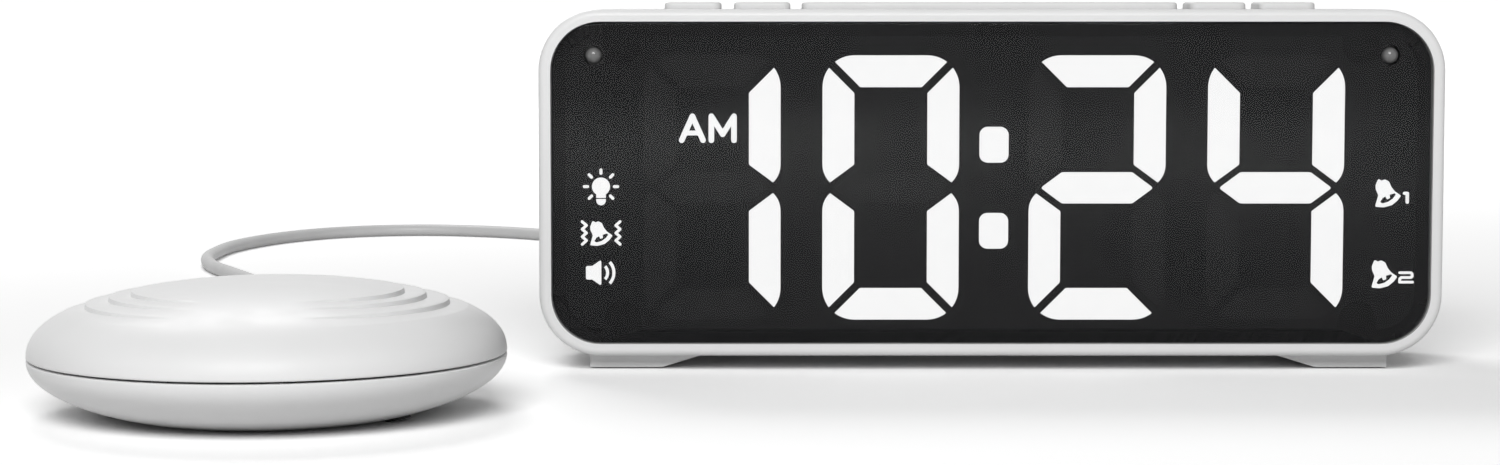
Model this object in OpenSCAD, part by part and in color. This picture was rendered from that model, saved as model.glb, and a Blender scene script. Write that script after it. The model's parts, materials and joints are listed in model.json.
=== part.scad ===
// Bed shaker alarm clock: a mains-powered desk clock with a large segment display,
// and a round vibrating puck that goes under a pillow, joined by a thin cord.
// X runs to the viewer's right, Y runs to the back, Z is up, millimetres.
// The origin is the middle of the base of clock and puck together, without the cord.

/* [Clock housing] */
// Width of the clock
clock_w = 200; // [196:1:212]
// Height of the housing, without skids and buttons
body_h = 76.7; // [76:0.1:84]
// Depth of the housing, front to back
clock_d = 45; // [44:0.5:56]
// Height of the skids under the housing
foot_h = 3.5; // [2.5:0.1:6]
// Outer corner radius of the housing
corner_r = 13.6; // [12.5:0.1:15]
// White rim round the lens
rim = 2.7; // [2.5:0.1:3.2]
// Wall of the housing
wall = 2.3; // [2:0.1:2.5]
// Rounding of the rim's front edge
rim_round = 1.5; // [0.8:0.1:1.8]
// Depth of the rear cover
cover_d = 7; // [6.5:0.5:9]
// Rounding of the cover's rear edge
cover_round = 5; // [4:0.5:6]
// Step where the rear cover meets the housing
seam_step = 0.25; // [0.1:0.05:0.4]

/* [Display] */
// How far the lens sits behind the rim
lens_inset = 0.5; // [0.2:0.1:0.8]
// Thickness of the lens
lens_t = 1.6; // [1.2:0.1:2]
// Width of one digit, as a share of the clock's width
digit_w_share = 0.151; // [0.14:0.001:0.154]
// Height of one digit, as a share of the housing's height
digit_h_share = 0.764; // [0.7:0.001:0.775]
// Width of a segment's bar
seg_t = 7; // [5.5:0.1:7.4]
// Gap between two neighbouring segments
seg_gap = 1.85; // [1.2:0.05:2.4]
// Clear space between the two digits of a pair
digit_space = 9.3; // [8:0.1:9.6]
// Clear space between the two middle digits, for the colon
colon_space = 15.5; // [14.5:0.1:16]
// How far the digits sit below the middle of the face
digit_drop = 1.15; // [0:0.05:1.4]
// How far the digits sit right of the middle of the face
digit_shift = 0.7; // [-1:0.1:1]
// Thickness of the black tape that holds the lens
tape_t = 0.3; // [0.2:0.05:0.4]
// Thickness of the black reflector plate
mask_t = 5.7; // [5:0.1:6.5]
// Thickness of the display's circuit board
pcb_t = 1.6; // [1:0.1:2]

/* [Top buttons] */
// Width of the snooze bar
snooze_w = 83.4; // [70:0.5:84]
// Width of each small button
button_w = 12.6; // [11:0.1:13]
// Front to back size of the buttons
button_d = 13; // [10:0.5:13.5]
// How far the buttons stand out of the top
button_proud = 1.5; // [1.2:0.1:2.5]
// Travel of a button
button_travel = 0.8; // [0.4:0.1:0.9]
// Distance between the snooze bar and the button beside it
snooze_gap = 2.6; // [2.4:0.1:4]
// Distance between two small buttons
small_gap = 2.8; // [2.4:0.1:4]
// Clearance round a button
button_gap = 0.3; // [0.2:0.05:0.4]

/* [Rear side] */
// Distance from the main board's left end to the puck's socket
jack_inset = 15.6; // [14:0.1:18]
// Distance between the puck's socket and the power inlet
inlet_space = 18.4; // [16:0.2:20]
// Bore radius of the power inlet
inlet_bore_r = 2.85; // [2.6:0.05:3]
// Height of the sockets' axes above the table
socket_z = 18; // [17.5:0.1:20]
// Distance between the power inlet and the mode switch
switch_space = 20; // [18:0.5:22]
// Travel of the mode switch, each way
switch_travel = 2; // [1:0.1:2.4]
// Place of the speaker, from the middle
speaker_x = 45; // [42:0.5:48]
// Outer radius of the speaker
speaker_r = 20; // [16:0.5:21]
// Width of a slot in the speaker grille
slot_w = 1.8; // [1.2:0.1:2.4]
// Distance between two grille slots
slot_pitch = 4; // [3.4:0.1:5]
// Width and height of the battery door
door_w = 30; // [28:0.5:32]
// Diameter of the coin cell
cell_d = 20; // [19.5:0.1:20.5]

/* [Puck] */
// Diameter of the puck
puck_d = 94.8; // [92:0.2:100]
// Height of the puck
puck_h = 26.9; // [26.5:0.1:29]
// Height of the seam between its two shells
puck_seam = 11.9; // [11.4:0.1:12.6]
// Radius of the flat base
puck_base_r = 26.1; // [24:0.1:28]
// Wall of the puck
puck_wall = 2; // [1.6:0.1:2.2]
// Depth of the crescent steps at the puck's sides
step_depth = 0.85; // [0.3:0.05:0.9]
// Radius of the motor
motor_r = 9; // [8.2:0.1:9]
// Length of the motor
motor_l = 25; // [22:0.5:26]
// Radius of the motor's shaft
shaft_r = 1; // [0.8:0.05:1.2]
// Radius of the eccentric weight
weight_r = 8.8; // [7:0.1:8.8]

/* [Layout and cord] */
// Gap between puck and clock, left to right
puck_gap = 2; // [0:0.5:6]
// How far the puck's middle lies in front of the clock
puck_lead = 62.8; // [60:0.2:66]
// Diameter of the cord
cord_d = 4; // [3.6:0.1:4.2]
// Loops of cord in the coil
coil_loops = 7; // [6:1:8]
// Outer radius of the coil, at the cord's middle
coil_r = 31.5; // [30:0.5:33]
// Distance from the clock's back to the coil's middle
coil_back = 62.4; // [60:0.2:66]

/* [Hidden] */
$fn = 48;
EPS = 0.01;
CLEAR = 0.1;

// Layout of the two bodies about the origin
total_w = clock_w + puck_gap + puck_d;
total_d = puck_d / 2 + puck_lead + clock_d;
clock_x = total_w / 2 - clock_w / 2;
clock_y = total_d / 2 - clock_d;
puck_x = -total_w / 2 + puck_d / 2;
puck_y = -total_d / 2 + puck_d / 2;
puck_r = puck_d / 2;

// Heights and depths inside the clock, from its front plane and the table
mid_z = foot_h + body_h / 2;
body_top = foot_h + body_h;
floor_z = foot_h + wall;
roof_z = body_top - wall;
seam_y = clock_d - cover_d;
rear_y = clock_d - wall;
face_w = clock_w - 2 * rim;
face_h = body_h - 2 * rim;
face_r = corner_r - rim;
lens_back = lens_inset + lens_t;
ledge_y = lens_back + tape_t;
ledge_t = 1.3;
ledge_w = 2.5;
icon_t = 0.3;
mask_y = lens_back + CLEAR + icon_t;
board_y = mask_y + mask_t + CLEAR;
tower_y = board_y + pcb_t + CLEAR;

// Screw posts of the housing
post_x = clock_w / 2 - 18.5;
post_z = body_h / 2 - 7.85;
post_r = 3;
post_tip_r = 2.3;
post_tip_l = 3.3;
post_seat_y = tower_y + post_tip_l;
pilot_r = 1.5;
screw_r = 1.45;
screw_head_r = 2.7;
tower_r = 3.8;
well_r = 2.9;
tower_floor = 2.7;

// Digits
digit_w = clock_w * digit_w_share;
digit_h = body_h * digit_h_share;
digit_pitch = digit_w + digit_space;
middle_pitch = digit_w + colon_space;
digit_z = mid_z - digit_drop;
digit_x = [for (i = [0:3])
    digit_shift + (i < 2 ? -1 : 1) * (middle_pitch / 2 + (i == 0 || i == 3 ? digit_pitch : 0))];
digit_round = 7;
waist_round = 5.2;
waist_arc_z = 5.05;
waist_turn = 47;
waist_slope = 0.74;
seg_clear = 0.05;
seg_proud = 0.1;
seg_depth = 2;
colon_z = digit_h * 0.163;
colon_w = 6.4;
colon_h = 7.9;
colon_r = 1.8;

// Top buttons
inner_button_x = snooze_w / 2 + snooze_gap + button_w / 2;
outer_button_x = inner_button_x + button_w + small_gap;
button_round = 1.8;
button_edge = 0.6;
flange_w = 0.8;
flange_t = 1.4;
button_y = board_y - 1.8 + button_d / 2;
button_board_z = body_top - 12.95;
button_board_t = 1.6;
tact_h = 3.5;
plunger_h = 0.8;
plunger_gap = 0.05;
stem_r = 2;

// Strobe lamps in the upper corners of the face
flash_r = 1.9;
flash_flange_r = 2.4;
flash_x = face_w / 2 - 9.5;
flash_z = mid_z + face_h / 2 - 7.45;

// Main board
main_z = floor_z + 4.9;
main_left = -post_x + tower_r + 1.7;
main_right = 10;
main_w = main_right - main_left;
main_x = (main_left + main_right) / 2;
jack_x = main_left + jack_inset;
inlet_x = jack_x + inlet_space;
switch_x = inlet_x + switch_space;
main_front = tower_y + 4;
main_back = rear_y - 1.2;
tongue_l = 3;
tongue_t = 1.5;

// Speaker, door and sockets
speaker_y = rear_y;
speaker_flange = 2;
basket_h = 7;
magnet_r = 10;
magnet_h = 6;
door_x = -14;
door_z = mid_z + 11;
door_t = 1.8;
well_w = cell_d + 4;
well_depth = 6.2;
collar_r = 4;
collar_clear = 0.2;
knob_w = 3;
knob_h = 3;
window_h = knob_h + 0.8;

// Skids
skid_outer = clock_w / 2 - 11;
skid_foot = 16;
skid_top = 26.4;
skid_front = 6.2;
skid_l = clock_d - 12;
pad_r = 4;
pad_proud = 0.3;
pad_t = 0.8;

// Puck
puck_top_power = [2.11, 2.385];
puck_low_power = [1.2, 2.19];
seam_line = 0.15;
motor_z = puck_seam + 0.5;
motor_back = -22;
bracket_l = 18;
weight_x = 6;
weight_l = 9;
shaft_run = 0.05;
puck_boss_r = 3;
puck_boss_at = 24;
foot_at = 29.5;
foot_r = 2.6;
foot_sunk = 0.75;
foot_proud = 0.45;
foot_tilt = atan(dish_z(foot_at + 0.5) - dish_z(foot_at - 0.5));
exit_z = 7;
relief_l = 17;
relief_r = 3.6;
relief_y = puck_y + puck_r - 4.4;
relief_in = relief_y - puck_y - 4.7;

// Cord
plug_l = 20;
plug_r = 4.5;
tie_t = 0.9;
tie_w = 9;
coil_step = cord_d + 0.5;
coil_z = tie_t + 0.15 + cord_d / 2;
coil_at = [clock_x + jack_x + coil_r, clock_y + clock_d + coil_back];
loop_rings = 24;
relief_tip = [puck_x, relief_y + relief_l, exit_z];
coil_in = [coil_at.x - coil_r, coil_at.y + cord_d, coil_z];
coil_out = [coil_at.x - coil_r, coil_at.y - cord_d, coil_z + coil_step];
plug_end = [clock_x + jack_x, clock_y + clock_d + plug_l, socket_z];
cord_route = [
    [-101.2, 38, 6.6], [-101.6, 48, 4.8], [-102.5, 59, 2.9], [-104.2, 74, 2.1],
    [-107.5, 94, 2], [-112, 115, 2], [-118, 140, 2], [-126, 166, 2],
    [-135, 191, 2], [-145, 216, 2], [-155, 239, 2], [-163, 257, 2],
    [-169, 274, 2], [-173, 293, 2], [-174, 313, 2], [-173, 334, 2],
    [-168, 356, 2], [-160, 375, 2], [-149, 390, 2], [-134, 400, 2],
    [-117, 403, 2], [-100, 399, 2], [-84, 390, 2], [-69, 377, 2],
    [-55, 360, 2], [-43, 340, 2], [-34, 318, 2], [-27, 294, 2],
    [-21, 268, 2], [-17, 242, 2], [-14, 216, 2], [-12.4, 190, 2.1],
    [-12, 168, 2.7], [-12, 154, 3]
];
tail_route = [
    [-12, 106, 17.6], [-12, 113, 15.8], [-12, 120, 12.4], [-12, 127, 9.2], [-12, 132, 8]
];

// Small helpers

// A unit vector
function unit(v) = v / norm(v);

// Rounds the corners of an outline, each with its own radius
function soften(pts, radii, steps = 4) = [
    for (i = [0:len(pts) - 1])
        let (
            p = pts[i],
            before = pts[(i + len(pts) - 1) % len(pts)],
            after = pts[(i + 1) % len(pts)],
            u = unit(before - p),
            v = unit(after - p),
            half = acos(max(-1, min(1, u * v))) / 2,
            r = is_list(radii) ? radii[i] : radii,
            cut = min(r / tan(half), norm(before - p) / 2.05, norm(after - p) / 2.05)
        )
        each r <= 0 ? [p] : [
            for (k = [0:steps])
                let (s = k / steps)
                (1 - s) * (1 - s) * (p + u * cut) + 2 * s * (1 - s) * p + s * s * (p + v * cut)
        ]
];

// Points of an arc about a centre
function arc(c, r, a0, a1, steps = 5) = [
    for (k = [0:steps]) let (a = a0 + (a1 - a0) * k / steps) c + r * [cos(a), sin(a)]
];

// Four points for a smooth curve through a list of points
function smooth_at(p, i, t) =
    let (
        n = len(p) - 1,
        a = p[max(i - 1, 0)], b = p[i], c = p[min(i + 1, n)], d = p[min(i + 2, n)]
    )
    0.5 * (2 * b + (c - a) * t + (2 * a - 5 * b + 4 * c - d) * t * t
        + (3 * b - a - 3 * c + d) * t * t * t);

// A smooth path through a list of points, with some steps between each pair
function smooth_path(p, steps) = concat(
    [for (i = [0:len(p) - 2], k = [0:steps - 1]) smooth_at(p, i, k / steps)],
    [p[len(p) - 1]]
);

// Length of a path
function path_length(p) = len(p) < 2 ? 0 : sum([for (i = [1:len(p) - 1]) norm(p[i] - p[i - 1])]);
function sum(v) = [for (i = 0, s = 0; i <= len(v); s = s + (i < len(v) ? v[i] : 0), i = i + 1) s][len(v)];

// A round tube along a path, closed at both ends; both ends are cut square
module tube(path, r, sides) {
    n = len(path);
    points = [
        for (i = [0:n - 1])
            let (
                t = unit(path[min(i + 1, n - 1)] - path[max(i - 1, 0)]),
                side = unit(cross(t, [0, 0, 1])),
                up = cross(side, t)
            )
            for (k = [0:sides - 1])
                let (a = 360 * (k + 0.5) / sides)
                path[i] + r * (cos(a) * side + sin(a) * up)
    ];
    walls = [
        for (i = [0:n - 2], k = [0:sides - 1])
            let (a = i * sides + k, b = i * sides + (k + 1) % sides)
            each [[a, a + sides, b], [b, a + sides, b + sides]]
    ];
    first = [for (k = [0:sides - 1]) k];
    last = [for (k = [sides - 1:-1:0]) (n - 1) * sides + k];
    polyhedron(points, concat(walls, [first, last]), convexity = 8);
}

// Sweeps a profile round a rounded rectangle; the profile's x runs out from the corner's centre
module frame_sweep(w, h, r) {
    for (i = [0:3]) {
        sx = (i == 0 || i == 3) ? 1 : -1;
        sy = i < 2 ? 1 : -1;
        translate([sx * (w / 2 - r), sy * (h / 2 - r), 0])
            rotate([0, 0, 90 * i])
                rotate_extrude(angle = 90) children();
    }
    for (i = [0, 180]) {
        rotate([0, 0, i]) translate([w / 2 - r, 0, 0]) rotate([90, 0, 0])
            linear_extrude(h - 2 * r, center = true) children();
        rotate([0, 0, i + 90]) translate([h / 2 - r, 0, 0]) rotate([90, 0, 0])
            linear_extrude(w - 2 * r, center = true) children();
    }
}

// A plate with round corners and a rounded upper edge, standing on z = 0
module soft_plate(w, h, r, t, edge) {
    frame_sweep(w, h, r)
        difference() {
            square([r, t]);
            translate([r - edge, t - edge])
                difference() {
                    square(edge + 1);
                    circle(edge);
                }
        }
    translate([r - w / 2, r - h / 2, 0]) cube([w - 2 * r, h - 2 * r, t]);
}

// A flat outline with round corners
module round_outline(w, h, r) {
    square([w - 2 * r, h], center = true);
    square([w, h - 2 * r], center = true);
    for (sx = [-1, 1], sy = [-1, 1])
        translate([sx * (w / 2 - r), sy * (h / 2 - r)]) circle(r);
}

// Puts children into the clock's own frame: middle of its width, front plane, table
module at_clock() {
    translate([clock_x, clock_y, 0]) children();
}

// Stands a drawing up: its y becomes height, its z runs back into the clock
module stand(y = 0, z = 0) {
    translate([0, y, z]) rotate([90, 0, 0]) mirror([0, 0, 1]) children();
}

// Puts children at each housing post
module at_posts() {
    for (sx = [-1, 1], sz = [-1, 1])
        translate([sx * post_x, 0, mid_z + sz * post_z]) children();
}

// A cylinder that runs back along Y
module rod(r, y0, y1) {
    translate([0, y0, 0]) rotate([-90, 0, 0]) cylinder(r = r, h = y1 - y0);
}

// Display

// Outline of the top bar, its outer corners follow the digit's round corners
function bar_top(g = 0) =
    let (
        w = digit_w / 2 + g, h = digit_h / 2 + g, r = digit_round + g,
        m = seg_gap / sqrt(2) - g * sqrt(2), lean = asin((seg_gap / 2 - g) / r)
    )
    concat(
        arc([-w + r, h - r], r, 135 - lean, 90),
        arc([w - r, h - r], r, 90, 45 + lean),
        [[w - seg_t - 2 * g - m, h - seg_t - 2 * g], [-w + seg_t + 2 * g + m, h - seg_t - 2 * g]]
    );

// Outline of the upper left bar
function bar_side(g = 0) =
    let (
        w = digit_w / 2 + g, h = digit_h / 2 + g, r = digit_round + g, t = seg_t + 2 * g,
        m = seg_gap / sqrt(2) - g * sqrt(2), lean = asin((seg_gap / 2 - g) / r),
        waist = -g * (waist_slope + sqrt(1 + waist_slope * waist_slope)), bend = waist_round + g
    )
    concat(
        arc([-w + r, h - r], r, 135 + lean, 180),
        arc([-w + bend, waist_arc_z], bend, 180, 180 + waist_turn + 20 * g),
        [[-w + t, waist + waist_slope * t], [-w + t, h - t - m]]
    );

// Outline of the middle bar
function bar_middle(g = 0) =
    let (
        tip = digit_w / 2 - 2.65 + g * 1.7, half = seg_t / 2 - 0.05 + g,
        shoulder = tip - (half) / waist_slope
    )
    soften([[-tip, 0], [-shoulder, half], [shoulder, half], [tip, 0],
        [shoulder, -half], [-shoulder, -half]], 0.5);

// One bar of a digit, by its usual letter
module bar(letter, g = 0) {
    if (letter == "a") polygon(bar_top(g));
    if (letter == "d") mirror([0, 1]) polygon(bar_top(g));
    if (letter == "f") polygon(bar_side(g));
    if (letter == "b") mirror([1, 0]) polygon(bar_side(g));
    if (letter == "e") mirror([0, 1]) polygon(bar_side(g));
    if (letter == "c") rotate(180) polygon(bar_side(g));
    if (letter == "g") polygon(bar_middle(g));
}

// Some bars of one digit, as pieces that fill their windows
module digit_bars(place, letters) {
    at_clock() translate([digit_x[place], 0, 0]) stand(mask_y - seg_proud, digit_z)
        for (letter = letters) linear_extrude(seg_depth) bar(letter);
}

// Windows for all bars of one digit
module digit_windows(place) {
    translate([digit_x[place], 0, 0]) stand(mask_y - 1, digit_z)
        for (letter = ["a", "b", "c", "d", "e", "f", "g"])
            linear_extrude(mask_t + 2) bar(letter, seg_clear);
}

module colon_outline(g) {
    for (s = [-1, 1]) translate([digit_shift, s * colon_z])
        round_outline(colon_w + 2 * g, colon_h + 2 * g, colon_r + g);
}

// Puts children at the two strobe lamps, in the upper corners of the face
module at_flash(side) {
    translate([side * flash_x, 0, flash_z]) children();
}

module mask_plate() {
    w = face_w - 2 * ledge_w - 0.3;
    h = face_h - 2 * ledge_w - 0.3;
    r = face_r - ledge_w - 0.15;
    stand(mask_y, mid_z) linear_extrude(mask_t) round_outline(w, h, r);
    stand(ledge_y + ledge_t + CLEAR, mid_z)
        linear_extrude(ledge_t) round_outline(w + 4, h + 4, r + 2);
}

module segment_mask() color("#18181a") at_clock() difference() {
    mask_plate();
    for (i = [0:3]) digit_windows(i);
    stand(mask_y - 1, digit_z) linear_extrude(mask_t + 2) colon_outline(seg_clear);
    for (s = [-1, 1]) at_flash(s) rod(flash_flange_r + CLEAR, 0, 20);
    at_posts() rod(post_r + 0.8, 0, 20);
    for (sx = [-1, 1], sz = [-1, 1])
        translate([sx * post_x, 10, mid_z + sz * (post_z + 5)])
            cube([2 * post_r + 1.6, 20, 10], center = true);
}

module display_lens() color([0.12, 0.12, 0.13, 0.6]) at_clock() difference() {
    stand(lens_back, mid_z) mirror([0, 0, 1])
        soft_plate(face_w - 2 * CLEAR, face_h - 2 * CLEAR, face_r - CLEAR, lens_t, 0.6);
    for (s = [-1, 1]) at_flash(s) rod(flash_r + 0.15, -1, 10);
}

// Black tape between the lens and the housing's ledge; it covers the post ends too
module lens_tape() color("#121213") at_clock() {
    reach = post_r + 1.2;
    w = face_w - 4 * CLEAR;
    h = face_h - 4 * CLEAR;
    r = face_r - 2 * CLEAR;
    stand(lens_back, mid_z) linear_extrude(tape_t) difference() {
        union() {
            difference() {
                round_outline(w, h, r);
                round_outline(w - 2 * ledge_w - 1, h - 2 * ledge_w - 1, r - ledge_w - 0.5);
            }
            for (sx = [-1, 1], sz = [-1, 1]) {
                translate([sx * post_x, sz * post_z]) circle(reach);
                translate([sx * post_x, sz * (post_z + 2)]) square([2 * reach, 4], center = true);
            }
        }
        for (s = [-1, 1])
            translate([s * flash_x, flash_z - mid_z]) circle(flash_flange_r + CLEAR);
    }
}

lit_color = "#f7f7f7";
dark_color = "#2a2a2c";
module hours_tens_lit() color(lit_color) digit_bars(0, ["b", "c"]);
module hours_units_lit() color(lit_color) digit_bars(1, ["a", "b", "c", "d", "e", "f"]);
module minutes_tens_lit() color(lit_color) digit_bars(2, ["a", "b", "g", "e", "d"]);
module minutes_units_lit() color(lit_color) digit_bars(3, ["f", "g", "b", "c"]);
module dark_segments() color(dark_color) {
    digit_bars(0, ["a", "d", "e", "f", "g"]);
    digit_bars(1, ["g"]);
    digit_bars(2, ["c", "f"]);
    digit_bars(3, ["a", "d", "e"]);
}

module colon_dots() color(lit_color) at_clock() stand(mask_y - seg_proud, digit_z)
    linear_extrude(seg_depth) colon_outline(0);

// A thin drawing that lies on the front of the mask
module mark(x, z) {
    at_clock() translate([x, 0, 0]) stand(mask_y - icon_t, z) linear_extrude(icon_t) children();
}

// A straight stroke with round ends
module stroke(a, b, t) {
    d = b - a;
    translate(a) rotate(atan2(d.y, d.x)) {
        translate([0, -t / 2]) square([norm(d), t]);
        circle(d = t);
        translate([norm(d), 0]) circle(d = t);
    }
}

// A line of strokes through some points
module strokes(pts, t) {
    for (i = [0:len(pts) - 2]) stroke(pts[i], pts[i + 1], t);
}

am_h = 6.5;
am_t = 1.25;
module letter_a() {
    h = am_h - am_t;
    strokes([[-2.35, 0], [0, h], [2.35, 0]], am_t);
    stroke([-1.5, h * 0.3], [1.5, h * 0.3], am_t * 0.85);
}
module letter_m() {
    h = am_h - am_t;
    strokes([[-2.5, 0], [-2.5, h], [0, h * 0.25], [2.5, h], [2.5, 0]], am_t);
}
module am_indicator() color(lit_color) {
    mark(digit_x[0] - 4.4, digit_z + 10.6) letter_a();
    mark(digit_x[0] + 2.3, digit_z + 10.6) letter_m();
}

// A bell that leans to the left, with its mouth open and the clapper in it
module bell(k) {
    difference() {
        polygon(k * soften([[-2.15, 3.1], [-1.45, 2.65], [-0.7, 2.95], [0.2, 2.45], [0.7, 1.3],
            [1.45, 0.35], [2.9, -0.65], [2.1, -1.75], [0.9, -2.75], [-0.9, -3.25], [-2.8, -3.1],
            [-2.1, -0.6], [-2.7, 0.8], [-2.75, 1.6]], 0.3));
        polygon(k * soften([[-1.75, -2.1], [-1.2, -1.2], [-0.5, -0.8], [-0.2, -1.5], [0.45, -1.2],
            [0.35, -0.45], [1.5, -0.1], [1.8, -0.45], [1.15, -1.3], [0.1, -2.05],
            [-1.15, -2.4]], 0.12));
    }
}

module bulb() {
    circle(2);
    translate([-1.05, -2.5]) square([2.1, 1.6]);
    translate([-1.05, -3.35]) square([2.1, 0.6]);
    intersection() {
        translate([0, -3.1]) circle(1.05);
        translate([-2, -5.3]) square([4, 2]);
    }
    for (a = [-45:45:225]) stroke([cos(a), sin(a)] * 2.95, [cos(a), sin(a)] * 3.7, 0.65);
}

module shiver(side) {
    strokes([for (i = [0:6]) [side * (i % 2 == 0 ? 4.2 : 3.25), 2.52 - 0.84 * i]], 0.6);
}

module sound() {
    polygon(soften([[-3.4, -1.5], [-3.4, 1.5], [-2, 1.5], [0, 2.9], [0, -2.9], [-2, -1.5]],
        [0.4, 0.4, 0, 0.3, 0.3, 0]));
    for (r = [2.1, 3.5]) intersection() {
        difference() {
            translate([-0.7, 0]) circle(r + 0.33);
            translate([-0.7, 0]) circle(r - 0.33);
        }
        polygon([[-0.7, 0], [5, 5.2], [5, -5.2]]);
    }
}

icon_left = digit_shift - 0.9 - face_w / 2 + 11.2;
icon_right = face_w / 2 - 9.35;
module alert_icons() color(lit_color) {
    mark(icon_left, mid_z - 0.85) bulb();
    mark(icon_left, mid_z - 11.15) {
        bell(0.88);
        shiver(-1);
        shiver(1);
    }
    mark(icon_left, mid_z - 20) sound();
}

module alarm_icons() color(lit_color) {
    mark(icon_right, mid_z - 2.2) {
        bell(1);
        strokes([[3.7, -0.15], [4.3, -0.15], [4.3, -2.1]], 0.7);
    }
    mark(icon_right - 0.55, mid_z - 20.2) {
        bell(1);
        strokes([[3.45, 0.2], [5.9, 0.2], [6.2, -0.1], [6.2, -0.6], [5.9, -0.87], [3.8, -0.87],
            [3.45, -1.2], [3.45, -1.9], [6.3, -1.9]], 0.56);
    }
}

module led_board() color("#1d5c3a") at_clock() difference() {
    stand(board_y, mid_z)
        linear_extrude(pcb_t) round_outline(face_w - 8, face_h - 5.4, 4);
    at_posts() rod(post_tip_r + CLEAR, 0, 20);
}

// The middles of the seven bars, and how each pair of lamps lies in its bar
bar_mid = [[0, 1], [1, 0.5], [1, -0.5], [0, -1], [-1, -0.5], [-1, 0.5], [0, 0]];
module display_leds() color("#f2f0dc") at_clock() {
    led = [3, 0.8, 1.6];
    reach = [digit_w / 2 - seg_t / 2, digit_h / 2 - seg_t / 2];
    for (x = digit_x, m = bar_mid) {
        flat = m.x == 0;
        at = [x + m.x * reach.x, board_y - led.y / 2, digit_z + m.y * reach.y];
        for (s = [-1, 1])
            translate(at + (flat ? [s * 5, 0, 0] : [0, 0, s * 5])) cube(led, center = true);
    }
    for (s = [-1, 1]) translate([digit_shift, board_y - led.y / 2, digit_z + s * colon_z])
        cube(led, center = true);
}

module flash_led(side) color([0.8, 0.8, 0.8, 0.7]) at_clock() at_flash(side) {
    rod(flash_r, lens_inset + flash_r - 0.2, board_y);
    rod(flash_flange_r, board_y - 1, board_y);
    translate([0, lens_inset + flash_r - 0.2, 0]) sphere(flash_r);
}
module flash_led_left() flash_led(-1);
module flash_led_right() flash_led(1);

// Housing

module housing_profile() difference() {
    union() {
        translate([corner_r - wall, 0]) square([wall, seam_y]);
        translate([corner_r - rim, 0]) square([rim, ledge_y + ledge_t]);
        translate([corner_r - rim - ledge_w, ledge_y]) square([ledge_w + EPS, ledge_t]);
    }
    translate([corner_r - rim_round, -1]) difference() {
        square(rim_round + 1);
        translate([0, rim_round + 1]) circle(rim_round);
    }
}

// Middle and size of each top button
buttons = [
    [0, snooze_w], [-outer_button_x, button_w], [-inner_button_x, button_w],
    [inner_button_x, button_w], [outer_button_x, button_w]
];

module button_window(b) {
    translate([b.x, button_y, roof_z - 1])
        linear_extrude(wall + 2)
            round_outline(b.y + 2 * button_gap, button_d + 2 * button_gap, button_round + button_gap);
}

main_hole_x = [main_x - main_w / 2 + 5, main_x + main_w / 2 - 5];
main_hole_y = [main_front + 4.5, seam_y - tongue_l - 3.3];
hang_x = [-58.3, 0, 58.3];
hang_y = button_y + button_d / 2 + 4.6;
board_screw_r = 1.2;
board_pilot_r = 1.25;

module front_housing() color("#f0f0f0") at_clock() difference() {
    union() {
        stand(0, mid_z) frame_sweep(clock_w, body_h, corner_r) housing_profile();
        at_posts() {
            rod(post_r, ledge_y, board_y);
            rod(post_tip_r, ledge_y, post_seat_y);
        }
        for (sx = [-1, 1], sz = [-1, 1])
            translate([sx * post_x, ledge_y + ledge_t / 2, mid_z + sz * (post_z + 2.5)])
                cube([2 * post_r, ledge_t, 5], center = true);
        for (x = main_hole_x, y = main_hole_y)
            translate([x, y, floor_z - 1]) cylinder(r = 3, h = main_z - floor_z + 1);
        for (x = hang_x)
            translate([x, hang_y, button_board_z])
                cylinder(r = 2.6, h = roof_z - button_board_z + 1);
    }
    for (b = buttons) button_window(b);
    at_posts() rod(pilot_r, ledge_y + 1, post_seat_y + 1);
    for (x = main_hole_x, y = main_hole_y)
        translate([x, y, floor_z]) cylinder(r = board_pilot_r, h = main_z);
    for (x = hang_x)
        translate([x, hang_y, button_board_z - 1]) cylinder(r = board_pilot_r, h = 8);
}

module rear_cover() color("#ebebeb") at_clock() difference() {
    w = clock_w - 2 * seam_step;
    h = body_h - 2 * seam_step;
    r = corner_r - seam_step;
    union() {
        difference() {
            stand(seam_y, mid_z) soft_plate(w, h, r, cover_d, cover_round);
            stand(seam_y - 1, mid_z)
                soft_plate(w - 2 * wall, h - 2 * wall, r - wall, cover_d - wall + 1, cover_round - wall);
        }
        tongue_out = corner_r - wall - CLEAR;
        stand(seam_y - tongue_l, mid_z) frame_sweep(clock_w, body_h, corner_r)
            translate([tongue_out - tongue_t, 0]) square([tongue_t, tongue_l + tongue_t]);
        stand(seam_y, mid_z) frame_sweep(clock_w, body_h, corner_r)
            translate([tongue_out - tongue_t, 0]) square([tongue_t + 0.5, tongue_t]);
        at_posts() rod(tower_r, tower_y, clock_d - 1);
        translate([door_x, 0, door_z]) stand(clock_d - well_depth - 1.5)
            linear_extrude(well_depth) round_outline(well_w + 3, well_w + 3, 3);
        translate([speaker_x, 0, mid_z]) difference() {
            rod(speaker_r + 2, speaker_y - 3, speaker_y + 1);
            rod(speaker_r + 0.3, speaker_y - 4, speaker_y + 0);
        }
        door_screw_at() rod(2.6, rear_y - 5, rear_y + 1);
    }
    at_posts() {
        rod(post_tip_r + CLEAR, tower_y - 1, post_seat_y);
        rod(screw_r + 0.15, tower_y, clock_d);
        rod(well_r, post_seat_y + tower_floor, clock_d + 1);
    }
    translate([door_x, 0, door_z]) {
        stand(clock_d - door_t) linear_extrude(door_t + 1)
            round_outline(door_w + 0.4, door_w + 0.4, 2.2);
        stand(clock_d - well_depth) linear_extrude(well_depth + 1)
            round_outline(well_w, well_w, 2);
    }
    door_screw_at() rod(0.95, rear_y - 4, clock_d);
    speaker_slots();
    for (x = [jack_x, inlet_x]) translate([x, 0, socket_z]) rod(collar_r + collar_clear, seam_y, clock_d + 1);
    translate([switch_x, clock_d - wall / 2, socket_z])
        cube([knob_w + 2 * switch_travel + 0.8, wall + 2, window_h], center = true);
}

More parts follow.
